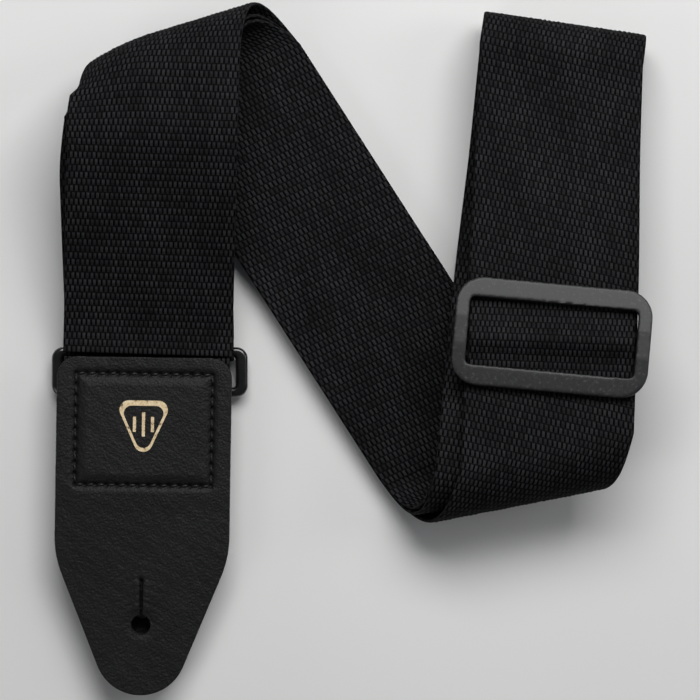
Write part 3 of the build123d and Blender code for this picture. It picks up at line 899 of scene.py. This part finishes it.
def front_relief(x, y):
    """How far the front leather's face stands above flat."""
    away = box_distance(x, y, FRONT_BOX, BOX_WIDTH, BOX_HEIGHT)
    groove = -GROOVE_DEPTH * np.exp(-(away / GROOVE_SPREAD) ** 2)
    pillow = PILLOW_RISE * ease(-away, 0.2, 3.5)
    rim = RIM_RISE * ease(away, 0.4, 2.2) * ease(-away, -9.0, -2.2)
    along_slit = ease(y, HOLE_Y, HOLE_Y + 1.5) * ease(-y, -SLIT_TOP - 0.4, -SLIT_TOP + 0.4)
    slit = -SLIT_DEPTH * np.exp(-(x / SLIT_SPREAD) ** 2) * along_slit
    from_slit_end = np.hypot(x, y - SLIT_TOP)
    slit_end = -SLIT_END_DEPTH * np.exp(-(from_slit_end / SLIT_END_SPREAD) ** 2)
    lips = LIP_RISE * np.exp(-((np.abs(x) - LIP_OFFSET) / LIP_SPREAD) ** 2) * along_slit
    from_hole = np.hypot(x, y - HOLE_Y)
    dished = -DISH_DEPTH * np.exp(-((from_hole - DISH_RADIUS) / DISH_SPREAD) ** 2)
    near_slit = ease(y, HOLE_Y - 3, HOLE_Y + 5) * ease(-y, -HOLE_Y - 24, -HOLE_Y - 12)
    near_slit = near_slit * np.exp(-(x / CREASE_REACH) ** 2)
    crease_phase = 2.6 * (y - HOLE_Y) + 0.9 * np.abs(x) + 2.0 * hidden_noise(x, y, 0.25, 7.0)
    creases = CREASE_HEIGHT * near_slit * np.sin(crease_phase)
    needles = -NEEDLE_DEPTH * needle_holes(x, y)
    uneven = 0.07 * hidden_noise(x, y, 0.55, 1.0) + 0.05 * hidden_noise(x, y, 1.7, 4.0)
    return creases + groove + pillow + rim + slit + slit_end + lips + dished + needles + uneven


def front_sheet(node, name, material, voxel, relief_top=None):
    """Front leather from its CAD solid: a fine mesh with soft edges, sunk at its free end. Where
    relief_top is given, the face at that height has the relief."""
    piece = remeshed(node, name, voxel, rounds=5)
    points = to_leather(vertices_of(piece))
    if relief_top is not None:
        normals = np.zeros(len(points) * 3)
        piece.data.vertices.foreach_get("normal", normals)
        up = np.clip(normals.reshape(-1, 3)[:, 2], 0, 1)
        near_top = ease(points[:, 2], relief_top - 1.1, relief_top - 0.2)
        points[:, 2] += front_relief(points[:, 0], points[:, 1]) * near_top * ease(up, 0.2, 0.9)
    points[:, 2] += front_droop(points[:, 1])
    set_vertices(piece, from_leather(points))
    finish_piece(piece, material, "front_end", (node,))


def front_face_z():
    return LINING_BOTTOM_Z + LINING_THICK + WEB_THICK + 2 * FACE_GAP


def stitch_mesh(name, stitches, length, width, depth, place=lambda points: points):
    """Short plump threads. Each stitch is (middle, direction, up)."""
    rings = np.linspace(-1, 1, 7)
    segments = 8
    vertices, faces = [], []
    for middle, direction, up in stitches:
        side = np.cross(up, direction)
        start = len(vertices)
        for ring in rings:
            # thin at its ends, which sink into the seam
            fat = math.sqrt(max(0.0, 1 - abs(ring) ** 2.6)) * 0.9 + 0.1
            dip = -0.30 * ring * ring * depth
            for segment in range(segments):
                angle = 2 * math.pi * segment / segments
                lift = math.sin(angle) * depth / 2 * fat + dip
                vertices.append(middle + direction * ring * length / 2 + up * lift
                                + side * math.cos(angle) * width / 2 * fat)
        for ring in range(len(rings) - 1):
            for segment in range(segments):
                a = start + ring * segments + segment
                b = start + ring * segments + (segment + 1) % segments
                faces.append([a, b, b + segments, a + segments])
        for ring, order in ((0, -1), (len(rings) - 1, 1)):
            cap = [start + ring * segments + segment for segment in range(segments)][::order]
            faces += [[cap[0], *cap[first:first + 3]] for first in (1, 3, 5)]
    return new_mesh(name, (place(np.array(vertices)) + SHIFT) * MM, np.array(faces))


UP = np.array([0.0, 0.0, 1.0])


def box_stitches(middle, width, length, surface, slant=9.0):
    """Stitches round a rectangle, lying at the heights that surface(x, y) gives."""
    stitches = []
    for run_length, away, turn in ((width, length, 0), (length, width, 90)):
        count = round(run_length / STITCH_PITCH)
        pitch = run_length / count
        for side in (-1, 1):
            for index in range(count):
                along = -run_length / 2 + pitch * (index + 0.5)
                spot = turned(np.array([[along, side * away / 2, 0.0]]), turn)[0]
                x, y = middle[0] + spot[0], middle[1] + spot[1]
                wobble = 2.5 * math.sin(index * 2.4 + turn + side)
                direction = unit(turn + slant + wobble)
                stitches.append((np.array([x, y, surface(x, y)]), direction, UP))
    return stitches


def make_front_leather():
    top = front_face_z() + LEATHER_THICK
    front_sheet("front_leather_face", "grained_front_face", LEATHER, voxel=0.30,
                relief_top=top)
    front_sheet("front_leather_lining", "split_lining", LINING, voxel=0.5)
    groove_floor = top - 0.34
    stitches = box_stitches(FRONT_BOX, BOX_WIDTH, BOX_HEIGHT,
                            lambda x, y: groove_floor + front_droop(y))
    piece = stitch_mesh("front_thread_box", stitches, length=2.15, width=0.85, depth=0.6,
                        place=from_leather)
    finish_piece(piece, THREAD, "front_end", ("front_box_stitching",))
    foil = bpy.data.objects.new("plectrum_foil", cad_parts["foil_mark"].data.copy())
    bpy.context.scene.collection.objects.link(foil)
    points = to_leather(vertices_of(foil))
    pressed_in = 0.03
    relief = front_relief(points[:, 0], points[:, 1])
    points[:, 2] += relief + front_droop(points[:, 1]) - pressed_in
    set_vertices(foil, from_leather(points))
    finish_piece(foil, foil_material(), "front_end", ("foil_mark",))


def make_front_tab():
    """The webbing's end, flat between the front leather's face and lining."""
    length = BOX_DROP + BOX_HEIGHT - 3.0

    def column(u, along):
        x = np.full_like(along, TAB_SIDESTEP + u)
        z = np.full_like(along, front_web_z())
        return from_leather(np.stack([x, along - length, z], axis=1))
    piece = web_piece("woven_front_tab", column, 0.0, length - 0.1,
                      width_share=TAB_WIDTH / WEB_WIDTH)
    web_sheet(piece, "front_end", length, ("webbing_front_tab",))


def make_rear_leather():
    piece = remeshed("rear_leather_end", "grained_rear_end", voxel=0.42, rounds=5)
    points = vertices_of(piece)
    points[:, 2] += 0.05 * hidden_noise(points[:, 0], points[:, 1], 0.9, 2.0)
    set_vertices(piece, points)
    finish_piece(piece, LEATHER, "rear_end", ("rear_leather_end",))
    low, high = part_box("rear_box_stitching")
    middle = (np.array(low) + np.array(high)) / 2 / MM - SHIFT
    surface = low[2] / MM + 0.1
    stitches = box_stitches(middle, 38.0, 20.0, lambda x, y: surface)
    piece = stitch_mesh("rear_thread_box", stitches, length=2.5, width=0.72, depth=0.5)
    finish_piece(piece, THREAD, "rear_end", ("rear_box_stitching",))


def make_ring():
    """The ring, and the webbing's turn round its upper bar, which is returned."""
    piece = remeshed("ring", "moulded_ring", voxel=0.3, rounds=4)
    finish_piece(piece, ring_material(), "ring_body", ("ring",))
    radius = ring_loop_radius()

    def column(u, along):
        angle = -math.pi / 2 - along / radius
        y = bar_y(1) + radius * np.cos(angle)
        z = RING_Z + radius * np.sin(angle)
        return np.stack([np.full_like(y, RING_CENTRE[0] + u), y, z], axis=1)
    piece = web_piece("woven_ring_turn", column, 0.0, math.pi * radius)
    return finish_piece(piece, WEB, "ring_body", ("webbing_ring_loop",))


def make_slider():
    """The slider, and the rows of thread under the sewn end."""
    piece = remeshed("slider", "moulded_slider", voxel=0.34, rounds=10)
    finish_piece(piece, slider_material(), "slider_body", ("slider",))
    place = slider_place()
    bar_z, radius = sewn_turn()
    under = bar_z + radius - 1.5 * WEB_THICK - FACE_GAP - 0.1
    stitches = []
    for row in SEWN_ROWS:
        for index in range(SEWN_COUNT):
            across_bar = SEWN_PITCH * (index - (SEWN_COUNT - 1) / 2)
            spot = placed(np.array([across_bar, row, under]), place)
            stitches.append((spot, place[1], -place[3]))
    piece = stitch_mesh("sewn_end_thread", stitches, length=2.6, width=0.7, depth=0.5)
    finish_piece(piece, THREAD, "slider_body", ("sewn_end_stitching",))


# ---- studio ------------------------------------------------------------------------------------
FLOOR_REACH = 1.6              # lengths in this section are in metres
FLOOR_LEVEL = -0.0002          # just under the strap
LIGHTS = (                     # name, place, width and height, power in watts
    ("window", (0.10, 0.46, 0.60), (0.7, 0.35), 6.2),
    ("side", (0.95, 0.20, 0.50), (0.35, 0.6), 1.8),
    ("fill", (-0.8, -0.5, 0.8), (0.5, 0.5), 1.6))
SKY_COLOUR, SKY_STRENGTH = (0.9, 0.93, 1.0, 1.0), 0.10
CAMERA_HEIGHT = 1.50
VIEW_LEVEL = 0.014             # about the height of the front leather
VIEW_WIDTH = 0.2021            # width of the view at that height
SENSOR_WIDTH = 36.0            # of the camera, in millimetres


def make_floor():
    mesh = bpy.data.meshes.new("floor")
    corners = [(x * FLOOR_REACH, y * FLOOR_REACH, 0)
               for x, y in ((-1, -1), (1, -1), (1, 1), (-1, 1))]
    mesh.from_pydata(corners, [], [(0, 1, 2, 3)])
    floor = bpy.data.objects.new("floor", mesh)
    floor.location.z = FLOOR_LEVEL
    bpy.context.scene.collection.objects.link(floor)
    s = Shader("pale_floor", Specular_IOR_Level=0.2, Roughness=0.85)
    tone = s.noise(s.place("Object", (1.0, 1.0, 1.0)), 6.0, 2.0, 0.5)
    s.colour(tone, [(0.3, (0.70, 0.70, 0.69)), (0.7, (0.74, 0.74, 0.73))])
    mesh.materials.append(s.material)


def area_light(name, place, size, power):
    """A rectangular light that faces the origin."""
    data = bpy.data.lights.new(name, "AREA")
    data.shape = "RECTANGLE"
    data.size, data.size_y = size
    data.energy = power
    light = bpy.data.objects.new(name, data)
    light.location = place
    light.rotation_euler = (-Vector(place)).to_track_quat("-Z", "Y").to_euler()
    bpy.context.scene.collection.objects.link(light)


def make_studio():
    make_floor()
    for light in LIGHTS:
        area_light(*light)
    world = bpy.data.worlds.new("studio")
    world.use_nodes = True
    background = world.node_tree.nodes["Background"]
    background.inputs["Color"].default_value = SKY_COLOUR
    background.inputs["Strength"].default_value = SKY_STRENGTH
    bpy.context.scene.world = world
    bpy.context.scene.view_settings.view_transform = "Standard"


def make_camera():
    """A long lens straight above the strap's middle."""
    data = bpy.data.cameras.new("camera")
    data.sensor_width = SENSOR_WIDTH
    data.lens = SENSOR_WIDTH * (CAMERA_HEIGHT - VIEW_LEVEL) / VIEW_WIDTH
    camera = bpy.data.objects.new("camera", data)
    camera.location = (SHIFT[0] * MM, SHIFT[1] * MM, CAMERA_HEIGHT)
    bpy.context.scene.collection.objects.link(camera)
    bpy.context.scene.camera = camera


make_outer_webbing()
make_inner_webbing(make_ring())
make_slider_webbing()
make_slider()
make_front_leather()
make_front_tab()
make_rear_leather()
make_studio()
make_camera()
